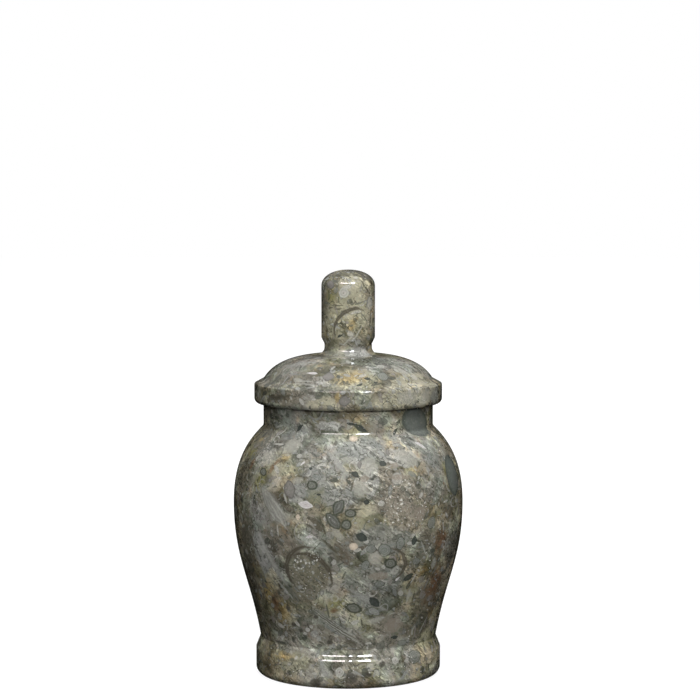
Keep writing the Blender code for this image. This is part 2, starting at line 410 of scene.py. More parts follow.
@dataclass
class Jar:
    """The footed jar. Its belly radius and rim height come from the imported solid."""

    waist_radius: float = 0.0386
    waist_crease: float = 0.0006
    waist_flare_deg: float = 79.6
    waist_pull: float = 0.0266
    belly_rise: float = 0.0591
    belly_lower_pull: float = 0.0246
    belly_upper_pull: float = 0.0196
    shoulder_slope_deg: float = 45.0
    shoulder_pull: float = 0.0082
    neck_radius: float = 0.0372
    neck_height: float = 0.0096
    neck_crease: float = 0.0022
    rim_outer_rounding: float = 0.0012
    foot_overhang: float = 0.0020
    foot_band: float = 0.0122
    foot_ledge_rise: float = 0.0048
    foot_lower_rounding: float = 0.0035
    ledge_leans: tuple[Point, ...] = (
        (0.0116, 0.0),
        (0.0122, 21.0),
        (0.0125, 26.5),
        (0.0128, 26.5),
        (0.0131, 19.0),
        (0.0141, 19.0),
        (0.0144, 26.5),
        (0.0147, 26.5),
        (0.0150, 20.0),
        (0.0164, 20.0),
    )
    rim_width: float = 0.0072
    rim_inner_rounding: float = 0.0008
    belly_wall: float = 0.0070
    floor_thickness: float = 0.0100
    floor_rounding: float = 0.0060
    lean_steps: int = 3
    arc_steps: int = 8
    curve_steps: int = 32

    def __post_init__(self) -> None:
        """Reads the belly radius and the rim height from the frame."""
        self.belly_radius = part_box("urn_jar")[1].x
        self.rim_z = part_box("urn_jar")[1].z
        self.waist = (self.waist_radius, self.foot_band + self.foot_ledge_rise)
        self.belly = (self.belly_radius, self.waist[1] + self.belly_rise)
        self.neck = (self.neck_radius, self.rim_z - self.neck_height)
        self.mouth_radius = self.neck_radius - self.rim_width

    def foot(self) -> list[Point]:
        """Outline of the foot, from the middle of the underside to the ledge."""
        radius = self.waist_radius + self.foot_overhang
        lower, upper = (radius, 0.0), (radius, self.foot_band)
        points = [(0.0, 0.0)]
        points += rounded(points[0], lower, upper, self.foot_lower_rounding, self.arc_steps)
        points.append((radius, self.ledge_leans[0][0]))
        for (low, lean), (high, next_lean) in zip(self.ledge_leans, self.ledge_leans[1:]):
            for step in range(self.lean_steps):
                middle_lean = lean + (next_lean - lean) * (step + 0.5) / self.lean_steps
                rise = (high - low) / self.lean_steps
                radius -= rise * math.tan(math.radians(middle_lean))
                points.append((radius, points[-1][1] + rise))
        return points

    def skin(self) -> list[Point]:
        """Outline of the outer skin, from the waist's crease to the neck's crease."""
        ledge = self.foot()[-1]
        rim = (self.neck_radius, self.rim_z)
        rising = curve(
            self.waist,
            toward(self.waist, self.waist_flare_deg, self.waist_pull),
            (self.belly[0], self.belly[1] - self.belly_lower_pull),
            self.belly,
            self.curve_steps,
        )
        closing = curve(
            self.belly,
            (self.belly[0], self.belly[1] + self.belly_upper_pull),
            toward(self.neck, -self.shoulder_slope_deg, self.shoulder_pull),
            self.neck,
            self.curve_steps,
        )
        points = rounded(ledge, self.waist, rising[1], self.waist_crease, self.arc_steps)
        points += rising[1:-1] + closing[:-2]
        points += rounded(closing[-3], self.neck, rim, self.neck_crease, self.arc_steps)
        return points

    def hollow(self) -> list[Point]:
        """Outline of the rim and the hollow, down to the middle of the floor."""
        rim, mouth = (self.neck_radius, self.rim_z), (self.mouth_radius, self.rim_z)
        drop = self.rim_width * math.tan(math.radians(self.shoulder_slope_deg / 2))
        throat = (self.mouth_radius, self.neck[1] - drop)
        widest = (self.belly[0] - self.belly_wall, self.belly[1])
        heel = (self.waist_radius - self.belly_wall, self.waist[1])
        fall = (self.waist[1] - self.floor_thickness) / math.sin(math.radians(self.waist_flare_deg))
        corner = toward(heel, self.waist_flare_deg - 180.0, fall)
        floor = (0.0, self.floor_thickness)
        opening = curve(
            throat,
            toward(throat, -self.shoulder_slope_deg, self.shoulder_pull),
            (widest[0], widest[1] + self.belly_upper_pull),
            widest,
            self.curve_steps // 2,
        )
        falling = curve(
            widest,
            (widest[0], widest[1] - self.belly_lower_pull),
            toward(heel, self.waist_flare_deg, self.waist_pull),
            heel,
            self.curve_steps // 2,
        )
        points = rounded(self.neck, rim, mouth, self.rim_outer_rounding, self.arc_steps)
        points += rounded(rim, mouth, throat, self.rim_inner_rounding, self.arc_steps)
        points += opening[:-1] + falling
        points += rounded(heel, corner, floor, self.floor_rounding, self.arc_steps)
        return points + [floor]

    def outline(self) -> list[Point]:
        """The whole outline, from the middle of the underside round to the middle of the hollow's floor."""
        return self.foot() + self.skin() + self.hollow()

    def build(self, lathe: Lathe, finish: bpy.types.Material) -> bpy.types.Object:
        """Turns the jar and puts it in the place of its solid.

        Args:
            lathe: What turns it.
            finish: The stone.

        Returns:
            The jar.
        """
        jar = lathe.turn("jar", self.outline(), finish)
        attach(jar, "root")
        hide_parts("urn_jar")
        return jar


@dataclass
class Lid:
    """The lift-off lid with its knob. Its radius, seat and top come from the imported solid."""

    seat_radius: float = 0.0300
    spigot_clearance: float = 0.0008
    spigot_depth: float = 0.0050
    spigot_chamfer: float = 0.0008
    band_height: float = 0.0086
    lower_rounding: float = 0.0022
    upper_rounding: float = 0.0009
    ledge_rise: float = 0.0022
    ledge_width: float = 0.0041
    crease: float = 0.0006
    dome_rise: float = 0.0107
    dome_start_deg: float = 57.0
    dome_start_pull: float = 0.0059
    dome_crest_deg: float = 2.3
    dome_crest_pull: float = 0.0174
    stem_radius: float = 0.0104
    stem_height: float = 0.0044
    stem_rounding: float = 0.0030
    knob_overhang: float = 0.00135
    chin_rise: float = 0.0028
    chin_rounding: float = 0.0015
    crown_rise: float = 0.0070
    side_pull: float = 0.0042
    crown_pull: float = 0.0068
    arc_steps: int = 8
    curve_steps: int = 32

    def __post_init__(self) -> None:
        """Reads the radius, the seat and the top from the frame."""
        low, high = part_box("urn_lid")
        self.radius = high.x
        self.bottom_z = low.z
        self.seat_z = low.z + self.spigot_depth
        self.top_z = high.z
        self.knob_radius = self.stem_radius + self.knob_overhang

    def spigot(self) -> list[Point]:
        """Outline of the spigot, from its middle out to the lid's underside."""
        radius = self.seat_radius - self.spigot_clearance
        return [
            (0.0, self.bottom_z),
            (radius - self.spigot_chamfer, self.bottom_z),
            (radius, self.bottom_z + self.spigot_chamfer),
            (radius, self.seat_z),
        ]

    def cover(self) -> list[Point]:
        """Outline of the band, the ledge, the dome and the sweep up into the stem."""
        seat, lower = (self.seat_radius, self.seat_z), (self.radius, self.seat_z)
        upper = (self.radius, self.seat_z + self.band_height)
        crease = (self.radius - self.ledge_width, upper[1] + self.ledge_rise)
        stem = (self.stem_radius, crease[1] + self.dome_rise)
        chin = (self.stem_radius, stem[1] + self.stem_height)
        dome = curve(
            crease,
            toward(crease, 180.0 - self.dome_start_deg, self.dome_start_pull),
            toward(stem, -self.dome_crest_deg, self.dome_crest_pull),
            stem,
            self.curve_steps,
        )
        points = rounded(seat, lower, upper, self.lower_rounding, self.arc_steps)
        points += rounded(lower, upper, crease, self.upper_rounding, self.arc_steps)
        points += rounded(upper, crease, dome[1], self.crease, self.arc_steps)
        points += [point for point in dome[1:] if point[0] > self.stem_radius + self.stem_rounding]
        points += rounded(points[-1], stem, chin, self.stem_rounding, self.arc_steps)
        return points + [chin]

    def knob(self) -> list[Point]:
        """Outline of the knob, from its chin to the middle of its crown."""
        chin_z = self.seat_z + self.band_height + self.ledge_rise + self.dome_rise + self.stem_height
        chin, side = (self.stem_radius, chin_z), (self.knob_radius, chin_z + self.chin_rise)
        crown, top = (self.knob_radius, self.top_z - self.crown_rise), (0.0, self.top_z)
        points = rounded(chin, side, crown, self.chin_rounding, self.arc_steps)
        points += curve(
            crown,
            (self.knob_radius, crown[1] + self.side_pull),
            (self.crown_pull, self.top_z),
            top,
            self.curve_steps // 2,
        )
        return points

    def outline(self) -> list[Point]:
        """The whole outline, from the middle of the spigot round to the top of the knob."""
        return self.spigot() + self.cover() + self.knob()

    def build(self, lathe: Lathe, finish: bpy.types.Material) -> bpy.types.Object:
        """Turns the lid and puts it in the place of its solid.

        Args:
            lathe: What turns it.
            finish: The stone.

        Returns:
            The lid.
        """
        lid = lathe.turn("lid", self.outline(), finish)
        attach(lid, "root")
        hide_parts("urn_lid")
        return lid


@dataclass(frozen=True)
class Look:
    """How one kind of inclusion or painted highlight looks, from its middle at 0 to its edge at 1.

    A bedded kind is part of the ground: layers, splinters and fossils lie over it.
    """

    stops: Stops
    soft: float = 0.10
    share: float = 1.0
    pointed: bool = False
    crescent: bool = False
    bedded: bool = False
    ragged: float = 0.10

    @classmethod
    def plain(cls, middle: Colour, edge: Colour, soft: float, share: float, **traits: Any) -> "Look":
        """A look that changes evenly from its middle to its edge."""
        return cls(((0.0, middle), (1.0, edge)), soft, share, **traits)

    @classmethod
    def bed(cls, middle: Colour, edge: Colour, soft: float, share: float, ragged: float) -> "Look":
        """A plain look that is part of the ground."""
        return cls.plain(middle, edge, soft, share, bedded=True, ragged=ragged)


class Kind(Enum):
    """Kinds of inclusion, or of painted highlight. A later kind lies over an earlier one."""

    PALE_ZONE = Look.bed((0.325, 0.325, 0.31), (0.28, 0.28, 0.265), 0.22, 0.8, 0.35)
    STRAW_ZONE = Look.bed((0.375, 0.355, 0.262), (0.32, 0.302, 0.225), 0.25, 0.8, 0.35)
    MARKED = Look.bed((0.24, 0.245, 0.232), (0.215, 0.22, 0.21), 0.3, 0.75, 0.4)
    SLATE_ZONE = Look.bed((0.185, 0.195, 0.182), (0.165, 0.172, 0.16), 0.3, 0.75, 0.4)
    BROWN_ZONE = Look.bed((0.155, 0.140, 0.118), (0.145, 0.132, 0.108), 0.2, 0.75, 0.35)
    DARK_ZONE = Look.bed((0.105, 0.097, 0.072), (0.125, 0.115, 0.088), 0.3, 0.8, 0.4)
    GREEN_ZONE = Look.bed((0.30, 0.29, 0.205), (0.26, 0.25, 0.18), 0.35, 0.75, 0.4)
    SPECKLED = Look.bed((0.215, 0.190, 0.158), (0.20, 0.18, 0.15), 0.25, 0.8, 0.35)
    SANDY = Look.bed((0.165, 0.155, 0.115), (0.15, 0.142, 0.108), 0.15, 0.8, 0.12)
    DARK_WEDGE = Look.plain(
        (0.095, 0.085, 0.065), (0.115, 0.100, 0.078), 0.12, 0.85, pointed=True, bedded=True
    )
    PALE_CLAST = Look.plain((0.33, 0.325, 0.285), (0.28, 0.275, 0.23), 0.25, 0.6, ragged=0.5)
    DARK_CLAST = Look(
        (
            (0.0, (0.125, 0.137, 0.125)),
            (0.70, (0.105, 0.117, 0.106)),
            (0.93, (0.065, 0.075, 0.065)),
            (1.0, (0.10, 0.105, 0.09)),
        ),
        0.08,
        0.92,
        ragged=0.06,
    )
    TAN_CLAST = Look.plain((0.24, 0.205, 0.17), (0.20, 0.175, 0.14), 0.2, 0.7, ragged=0.3)
    OCHRE = Look.bed((0.29, 0.215, 0.095), (0.24, 0.20, 0.115), 0.5, 0.8, 0.5)
    RUST = Look.bed((0.15, 0.082, 0.048), (0.15, 0.110, 0.070), 0.6, 0.8, 0.7)
    MOSS = Look.bed((0.20, 0.195, 0.075), (0.18, 0.17, 0.085), 0.7, 0.7, 0.9)
    BAND = Look(
        (
            (0.0, (0.27, 0.27, 0.25)),
            (0.20, (0.22, 0.22, 0.20)),
            (0.34, (0.29, 0.29, 0.27)),
            (0.50, (0.20, 0.20, 0.18)),
            (0.66, (0.28, 0.28, 0.255)),
            (0.82, (0.15, 0.15, 0.13)),
            (1.0, (0.28, 0.28, 0.25)),
        ),
        0.3,
        0.7,
        pointed=True,
        ragged=0.2,
    )
    PALE_LINE = Look.plain((0.40, 0.40, 0.36), (0.30, 0.30, 0.26), 0.6, 0.5, pointed=True, ragged=0.3)
    DARK_LINE = Look.plain((0.045, 0.043, 0.032), (0.10, 0.095, 0.07), 0.5, 0.8, pointed=True, ragged=0.2)
    CRESCENT = Look(
        (
            (0.0, (0.10, 0.090, 0.070)),
            (0.80, (0.13, 0.118, 0.095)),
            (0.92, (0.060, 0.053, 0.040)),
            (1.0, (0.12, 0.11, 0.09)),
        ),
        0.06,
        0.9,
        crescent=True,
        ragged=0.04,
    )
    GREY_OVAL = Look(
        (
            (0.0, (0.18, 0.17, 0.155)),
            (0.72, (0.15, 0.142, 0.13)),
            (0.86, (0.095, 0.090, 0.080)),
            (1.0, (0.14, 0.13, 0.115)),
        ),
        pointed=True,
    )
    COIN = Look(
        (
            (0.0, (0.10, 0.108, 0.092)),
            (0.16, (0.19, 0.198, 0.18)),
            (0.30, (0.11, 0.118, 0.102)),
            (0.46, (0.20, 0.208, 0.19)),
            (0.60, (0.12, 0.128, 0.112)),
            (0.74, (0.19, 0.198, 0.18)),
            (0.85, (0.07, 0.077, 0.062)),
            (0.93, (0.036, 0.041, 0.032)),
            (1.0, (0.09, 0.095, 0.08)),
        ),
        0.2,
        0.8,
    )
    DUSKY = Look(
        (
            (0.0, (0.23, 0.23, 0.21)),
            (0.12, (0.12, 0.12, 0.11)),
            (0.38, (0.075, 0.08, 0.068)),
            (0.56, (0.12, 0.125, 0.11)),
            (0.74, (0.062, 0.067, 0.055)),
            (0.90, (0.034, 0.038, 0.030)),
            (1.0, (0.08, 0.08, 0.07)),
        ),
        0.2,
        0.95,
        pointed=True,
    )
    RINGED = Look(
        (
            (0.0, (0.075, 0.08, 0.062)),
            (0.14, (0.17, 0.175, 0.15)),
            (0.32, (0.085, 0.09, 0.073)),
            (0.52, (0.145, 0.15, 0.13)),
            (0.70, (0.065, 0.07, 0.055)),
            (0.86, (0.034, 0.038, 0.028)),
            (1.0, (0.07, 0.075, 0.06)),
        ),
        0.2,
        0.95,
    )
    PALE_RING = Look(
        (
            (0.0, (0.14, 0.12, 0.10)),
            (0.28, (0.38, 0.37, 0.34)),
            (0.6, (0.28, 0.28, 0.25)),
            (0.85, (0.40, 0.40, 0.36)),
            (1.0, (0.20, 0.20, 0.17)),
        ),
        share=0.85,
    )
    DARK_LENS = Look(
        ((0.0, (0.040, 0.046, 0.042)), (0.8, (0.032, 0.038, 0.034)), (1.0, (0.075, 0.080, 0.070))),
        0.12,
        0.92,
        pointed=True,
    )
    DARK_SPOT = Look.plain((0.040, 0.038, 0.032), (0.075, 0.070, 0.058), 0.3, 0.85, ragged=0.25)
    PALE_LENS = Look(
        (
            (0.0, (0.26, 0.23, 0.23)),
            (0.20, (0.50, 0.47, 0.47)),
            (0.50, (0.40, 0.37, 0.37)),
            (0.75, (0.55, 0.53, 0.52)),
            (1.0, (0.34, 0.33, 0.31)),
        ),
        0.08,
        0.9,
        pointed=True,
        ragged=0.04,
    )
    CREAM_SPOT = Look.plain((0.58, 0.49, 0.38), (0.40, 0.34, 0.27), 0.25, 0.9)

    @property
    def look(self) -> Look:
        """The kind's look."""
        return self.value


@dataclass(frozen=True)
class InclusionOrHighlight:
    """A fossil or stain at a chosen place on the skin, or a painted highlight there.

    The bearing is 0 towards the camera and grows to the right. The tilt is of the long side, up
    from level on the right.
    """

    kind: Kind
    bearing_deg: float
    height_mm: float
    long_mm: float
    short_mm: float
    tilt_deg: float = 0.0
    depth_mm: float = 6.0

    def seat(self, skins: Skins) -> tuple[Vector, Vector, Vector, Vector]:
        """Finds where the inclusion or painted highlight lies and how it is turned.

        Args:
            skins: The turned outlines.

        Returns:
            Its middle in millimetres, and the directions along it, across it and into the air.
        """
        height = self.height_mm / MM_PER_M
        radius, lean = 0.0, 0.0
        for skin in skins:
            for low, high in zip(skin, skin[1:]):
                rise = high[1] - low[1]
                if rise <= 0.0 or not low[1] <= height <= high[1]:
                    continue
                there = low[0] + (high[0] - low[0]) * (height - low[1]) / rise
                if there > radius:
                    radius, lean = there, math.atan2(high[0] - low[0], rise)
        bearing, tilt = math.radians(self.bearing_deg), math.radians(self.tilt_deg)
        out = Vector((math.sin(bearing), -math.cos(bearing), 0.0))
        right = Vector((math.cos(bearing), math.sin(bearing), 0.0))
        up = out * math.sin(lean) + Vector((0.0, 0.0, math.cos(lean)))
        along = right * math.cos(tilt) + up * math.sin(tilt)
        across = up * math.cos(tilt) - right * math.sin(tilt)
        middle = MM_PER_M * (out * radius + Vector((0.0, 0.0, height)))
        return middle, along, across, along.cross(across)

    def distance(self, graph: Graph, place: Socket, skins: Skins) -> Socket:
        """Distance from the middle, 1 at the edge.

        Args:
            graph: The stone's graph.
            place: Object coordinates in millimetres.
            skins: The turned outlines.

        Returns:
            The distance's socket.
        """
        middle, *axes = self.seat(skins)
        away = graph.vector("SUBTRACT", place, middle)
        halves = (self.long_mm / 2, self.short_mm / 2, self.depth_mm)
        along, across, deep = (
            graph.vector("DOT_PRODUCT", away, axis / half) for axis, half in zip(axes, halves)
        )
        if self.kind.look.pointed:
            return graph.pointed(along, graph.node("ShaderNodeCombineXYZ", {1: across, 2: deep}).outputs[0])
        local = graph.node("ShaderNodeCombineXYZ", {0: along, 1: across, 2: deep}).outputs[0]
        reach = graph.vector("LENGTH", local)
        if self.kind.look.crescent:
            bitten = graph.math("SUBTRACT", 2.0, graph.vector("DISTANCE", local, (0.0, BITE, 0.0)))
            return graph.math("MAXIMUM", reach, bitten)
        return reach


Region = dict[Kind, tuple[tuple[float, ...], ...]]
# Kinds of inclusion or painted highlight, each with its rows: bearing, height, long and short side, tilt and
# depth.
"""Kinds of inclusion, each with its rows: bearing, height, long and short side, tilt and depth."""


def laid(*regions: Region) -> tuple[InclusionOrHighlight, ...]:
    """The inclusions and painted highlights in the rows of some regions."""
    return tuple(
        InclusionOrHighlight(kind, *row) for region in regions for kind, rows in region.items() for row in rows
    )


BEDS: Region = {
    Kind.PALE_ZONE: (
        (31, 100, 18, 9, -15, 8), (11.4, 91, 15, 8, 82, 7), (24, 142, 12, 8, 0, 7),
        (-48, 57, 12, 26, 28, 8), (-20, 132, 13, 6, 0, 6), (-12, 113, 12, 5, 0, 6),
        (50, 124.5, 30, 8, 0, 9),
    ),
    Kind.STRAW_ZONE: (
        (30, 124, 26, 10, 5, 8), (62, 125, 26, 12, 5, 12), (45, 131, 34, 9, 10, 9), (-14, 123, 16, 7, 5, 8),
        (12, 172, 16, 10, 0, 9), (32, 160, 7, 14, 0, 6), (9, 79, 10, 7, 0, 6), (-36, 31, 10, 8, 60, 6),
        (-45, 47, 10, 8, 60, 6),
    ),
    Kind.MARKED: (
        (-11.4, 94.8, 21, 18, 0, 9), (8, 104, 26, 14, 0, 9), (-25, 86, 10, 10, 0, 7),
        (38, 107, 18, 8, -15, 7), (-4, 86, 18, 15, -10, 8),
    ),
    Kind.SLATE_ZONE: (
        (14, 107, 12, 7, -30, 7), (-36, 110, 14, 6, 20, 7), (19.6, 66.5, 30, 14, -5, 9),
        (17, 49.5, 27, 15, -12, 9), (6, 43, 22, 9, -50, 7), (-6, 27, 30, 7, -35, 8),
        (52, 100, 14, 12, 60, 7), (65.6, 123, 14, 9, 50, 6),
    ),
    Kind.DARK_ZONE: (
        (52, 25, 14, 9, 0, 7), (40, 60, 22, 10, 75, 8), (-66, 95, 30, 12, 80, 9), (-66, 108, 18, 10, 30, 9),
        (68, 58, 20, 10, 80, 9), (-47, 92, 12, 9, 60, 7), (52, 37, 26, 19, 80, 9), (44, 24, 16, 7, -10, 7),
        (-62, 60, 40, 12, 80, 9), (-45, 24, 14, 9, -20, 7), (-62, 160, 14, 8, 80, 7),
    ),
    Kind.BROWN_ZONE: (
        (-34.5, 64, 22, 15, -10, 8), (-1.6, 62, 10, 13, 0, 6), (22, 93.5, 14, 7, -5, 6),
        (24, 28, 14, 9, -10, 6), (-18, 24, 18, 9, -20, 7), (4, 20, 24, 8, -5, 7), (4, 5, 12, 8, 0, 6),
        (-40, 125, 20, 8, 5, 7), (-38, 133, 24, 8, 0, 7), (17, 112.5, 12, 8, 0, 7),
    ),
    Kind.GREEN_ZONE: (
        (-40, 98, 15, 13, 30, 8), (-4, 158, 26, 24, 60, 12), (2, 133.5, 22, 12, 15, 8),
        (-6, 36, 11, 9, 60, 6), (-34, 11, 16, 9, 0, 6),
    ),
    Kind.MOSS: ((-40, 167, 9, 7, 80),),
    Kind.SPECKLED: ((28.7, 82, 28, 24, -35, 10),),
    Kind.SANDY: ((-21, 50, 25, 18, 68, 8),),
    Kind.DARK_WEDGE: (
        (-34.8, 82, 17, 4.6, -28), (-46, 124.6, 21, 4.6, 11), (-3, 60, 12, 4.2, -62),
        (-15, 72.5, 12, 3.0, -38), (10.5, 62.5, 15, 2.2, -18),
    ),
}
BELLY_LEFT: Region = {
    Kind.BAND: ((-39.5, 79, 27, 8, -47, 8), (-5.4, 98.5, 17, 2.8, -50), (-40.5, 52, 22, 3.2, -58)),
    Kind.PALE_LINE: (
        (-36, 75, 18, 1.2, -50), (-8, 28.6, 25, 1.5, -35), (-6, 26.4, 26, 1.3, -34),
        (-3, 24.4, 22, 1.4, -33), (-17, 63.5, 9, 1.0, 48), (-46, 60, 22, 2.6, -62), (-37, 43, 14, 1.6, -50),
        (-36, 79, 17, 1.3, -42), (-18, 65, 5.0, 2.4, 5),
    ),
    Kind.DARK_LINE: (
        (-7, 27.4, 24, 0.8, -35), (-5, 25.3, 20, 0.7, -36), (-10, 29.8, 16, 0.7, -36),
        (-16, 62.8, 8, 0.6, 48), (-23.5, 100, 4.0, 1.0), (-18.7, 72, 5.5, 1.3, -28),
        (-12.2, 72.5, 10.5, 1.5, -70), (-8.5, 63.3, 12, 1.8, -42),
    ),
    Kind.RINGED: ((-18, 89.3, 5.2, 4.2, -10), (-49, 93, 5.0, 3.4, -20), (-0.6, 73, 5.0, 4.8)),
    Kind.GREY_OVAL: ((-30, 87, 8.6, 5.8, -72), (-43, 90, 2.6, 2.0)),
    Kind.PALE_CLAST: ((-26, 91, 5.6, 3.2), (-35, 104.5, 10, 7.5, 40), (-48, 99, 8.5, 7.0)),
    Kind.PALE_LENS: ((-21, 81, 7.6, 3.3, -8), (-24.6, 98, 3.0, 0.9, 50), (-19, 67.5, 3.6, 1.2, 8)),
    Kind.DUSKY: ((-4.4, 80.4, 8.2, 5.4, 58), (-7, 74.5, 9.4, 5.6, -50)),
    Kind.OCHRE: (
        (-37, 100, 7.0, 5.0, 60), (-66, 105.5, 5.0, 2.6, 20), (-50, 41, 14, 8, 70), (-42, 32, 14, 9, 75),
    ),
    Kind.RUST: (
        (-43, 96, 10.5, 2.8, 50), (-61, 95.5, 4.5, 3.5, 80), (-46, 36, 10, 6, 75), (-7.6, 34.6, 3.6, 2.4),
    ),
    Kind.MOSS: ((-50, 90, 12, 9, 60), (-66, 99.5, 8.0, 6.0), (-5.7, 38.3, 8, 7)),
    Kind.DARK_LENS: ((-19.7, 96.2, 2.0, 0.9), (-14.4, 85.6, 2.2, 0.9)),
    Kind.CREAM_SPOT: ((-25, 75.5, 2.2, 2.5),),
    Kind.CRESCENT: ((-20, 51, 22, 19, -38), (-22, 53, 22, 21, 65)),
    Kind.DARK_SPOT: (
        (-37.3, 34.4, 2.6, 2.1), (-34.8, 27.4, 2.5, 2.0), (-30.2, 25, 2.6, 2.0), (-19.2, 31.5, 2.4, 1.9),
        (-11.5, 20.5, 2.8, 2.3),
    ),
    Kind.PALE_RING: ((-25.3, 25.5, 2.4, 2.1), (-22.8, 27.0, 1.8, 1.6), (-27.5, 23.8, 1.6, 1.5)),
}
BELLY_RIGHT: Region = {
    Kind.CREAM_SPOT: ((3.6, 108.2, 3.6, 3.1), (2.8, 63.7, 4.0, 3.3, 30)),
    Kind.DARK_CLAST: ((53, 113.5, 20, 13, -20), (68, 90, 19, 13, 85)),
    Kind.PALE_LINE: (
        (46.7, 104.2, 9.5, 2.6, -40), (41, 61, 8.5, 1.1, -60), (50.3, 53.4, 6.2, 3.8, 85),
        (16.6, 30.3, 9.5, 3.4, 14), (36, 39.9, 8.5, 2.1, 85), (54, 25.5, 10.5, 0.9, 60),
    ),
    Kind.GREY_OVAL: ((23, 102.5, 3.8, 2.0, 90), (6.2, 98, 3.8, 1.9, 85)),
    Kind.DARK_LENS: (
        (18.7, 98.2, 3.8, 2.8, -30), (3.9, 94.1, 3.8, 2.8, -30), (9.1, 82.4, 3.0, 1.9, -20),
        (6.7, 67.6, 5.6, 3.9, -25), (33.7, 48.7, 5.8, 3.2, 28), (34.8, 65, 4.4, 2.9, 80),
        (15.1, 38.5, 6.8, 3.9, -45), (30.5, 21.8, 4.2, 1.9),
    ),
    Kind.TAN_CLAST: (
        (25.3, 97.2, 4.2, 2.8), (27.5, 92.3, 11, 2.4, -2), (8.9, 92.4, 4.2, 2.8), (37.3, 76, 7.5, 5.5, 80),
        (16.6, 50.2, 9.5, 3.6), (28.7, 27.4, 9.5, 6.8),
    ),
    Kind.DARK_LINE: (
        (2.2, 89.5, 6.5, 1.0, 72), (44, 77, 4.4, 0.9, 88), (4.7, 79.5, 5.8, 1.0),
        (39.7, 39.6, 7.5, 0.9, 85),
    ),
    Kind.PALE_LENS: ((47.6, 104.2, 6.5, 1.7, -38), (27, 48.3, 2.4, 0.9, 30)),
    Kind.PALE_CLAST: (
        (11.3, 97.5, 7.5, 8.5), (6.5, 88, 7.0, 8.0), (14, 58.5, 6.5, 6.0), (-5, 69, 8.0, 3.4, -40),
        (35, 100, 12, 7, -30),
    ),
    Kind.MOSS: ((61, 93, 6, 8),),
    Kind.RUST: ((57.4, 87.5, 1.8, 1.5), (54, 63, 16, 10, 70), (56, 44, 22, 13, 80)),
    Kind.PALE_RING: ((16.5, 81.8, 2.6, 2.5),),
    Kind.COIN: (
        (45.4, 71.8, 6.2, 4.8, 60), (18.4, 61.6, 6.6, 5.8, -40), (8.9, 55.3, 4.8, 3.7, 70),
        (26.7, 64.2, 6.2, 4.3, 80), (11.7, 62.3, 4.6, 3.7), (37.3, 55.5, 4.4, 3.4), (17, 46.6, 5.0, 2.9),
        (37.3, 18.9, 5.2, 2.9),
    ),
    Kind.RINGED: ((1.3, 77.9, 5.4, 3.8), (22, 55.7, 6.2, 4.9, -20), (3.3, 36.1, 8.2, 4.8, -17)),
    Kind.CRESCENT: ((22, 55, 15, 17, -80),),
    Kind.BAND: ((11, 39.5, 25, 2.6, -33),),
}
LID_AND_FOOT: Region = {
    Kind.OCHRE: (
        (2, 134, 17, 9, 15), (-6, 125.5, 5.0, 2.4, 80), (10, 154.5, 9.0, 4.6, 62), (-43, 13.0, 12.0, 4.5),
    ),
    Kind.DARK_LENS: (
        (14, 133.4, 3.4, 1.5, -15), (8, 131.0, 3.0, 1.2, 20), (19, 131.8, 2.6, 1.1, 10),
        (-17, 149.9, 3.0, 1.1, 30), (8, 112.6, 7.5, 2.4, -32), (2, 114.4, 4.0, 1.4, -15),
        (-34, 111.8, 5.5, 1.5, 45), (33, 110.4, 4.6, 1.4, 50),
    ),
    Kind.PALE_LINE: (
        # The first two rows are a painted reflection: two level pale lines on the dome, just above the
        # ledge, stand in for the softboxes shining there.
        (-31, 132.0, 12, 0.9, 0), (-31, 130.9, 12, 0.8, 0), (-36, 132.2, 7.5, 2.4, -10),
        (0, 147.6, 7.0, 1.0, 48), (24, 151.5, 9.0, 0.9, 58),
    ),
    Kind.GREY_OVAL: ((-14, 134.2, 5.8, 4.8), (-1.9, 124.4, 5.2, 4.9), (-42, 172, 5.5, 3.6, -15)),
    Kind.COIN: ((26, 134, 5.2, 5.2), (46, 12.4, 8.2, 6.6)),
    Kind.PALE_CLAST: ((45.7, 136, 9.2, 5.2, -60), (38, 125, 12, 6), (54, 124.5, 9, 6.5, 30)),
    # A painted highlight: this pale streak on the dome stands in for a lamp's glint.
    Kind.PALE_LENS: ((-27.5, 135.2, 5.5, 1.5, -5),),
    Kind.DARK_LINE: (
        (-48, 129, 4.2, 1.0, -70), (-47, 124.6, 20, 2.6, 11), (48.5, 136.2, 9.5, 0.8, -58),
        (-40, 162.0, 3.6, 0.8, 8), (-6, 154.0, 2.6, 0.8, -50), (2, 153.6, 2.8, 0.9, 50),
        (40, 171.5, 7.5, 1.2, -55), (-22, 163.2, 5.8, 0.9), (-20, 161.5, 4.2, 0.7), (57, 157, 12, 1.0, 85),
    ),
    Kind.CRESCENT: ((6, 154.5, 19, 14, 42),),
    Kind.PALE_RING: ((-8.5, 168.6, 4.6, 4.6), (-5, 7.9, 3.6, 4.4), (30.3, 12.0, 3.4, 3.2)),
    Kind.DARK_SPOT: (
        (2.3, 5.4, 5.8, 5.4), (12.6, 6.9, 3.2, 3.0), (21.5, 10.9, 3.2, 3.0), (-20, 2.9, 5.4, 4.0),
    ),
    Kind.BAND: ((-13, 7.8, 9.5, 3.6, -40),),
}


@dataclass(frozen=True)
class Shoal:
    """Fossils strewn through the stone, one to a cell, each turned its own way. Lengths are millimetres."""

    cell: float
    half_axes: Trio
    crowding: float
    share: float
    pointed: bool = False
    hollow: bool = False
    shift: float = 0.0


@dataclass(frozen=True)
class Shards:
    """Torn splinters of shell. Lengths are millimetres, and part says how many there are."""

    shift: float
    length: float
    width: float
    part: float


@dataclass(frozen=True)
class Rims:
    """Dark rims round lumps of a size in millimetres; the width is a share of a lump."""

    shift: float
    cell: float
    width: float


@dataclass(frozen=True)
class Sand:
    """Specks, one to a cell in millimetres, thickest where a bed is rich in them."""

    shift: float
    cell: float
    shade: Colour
    part: float
    growth: float
    marked: bool = False


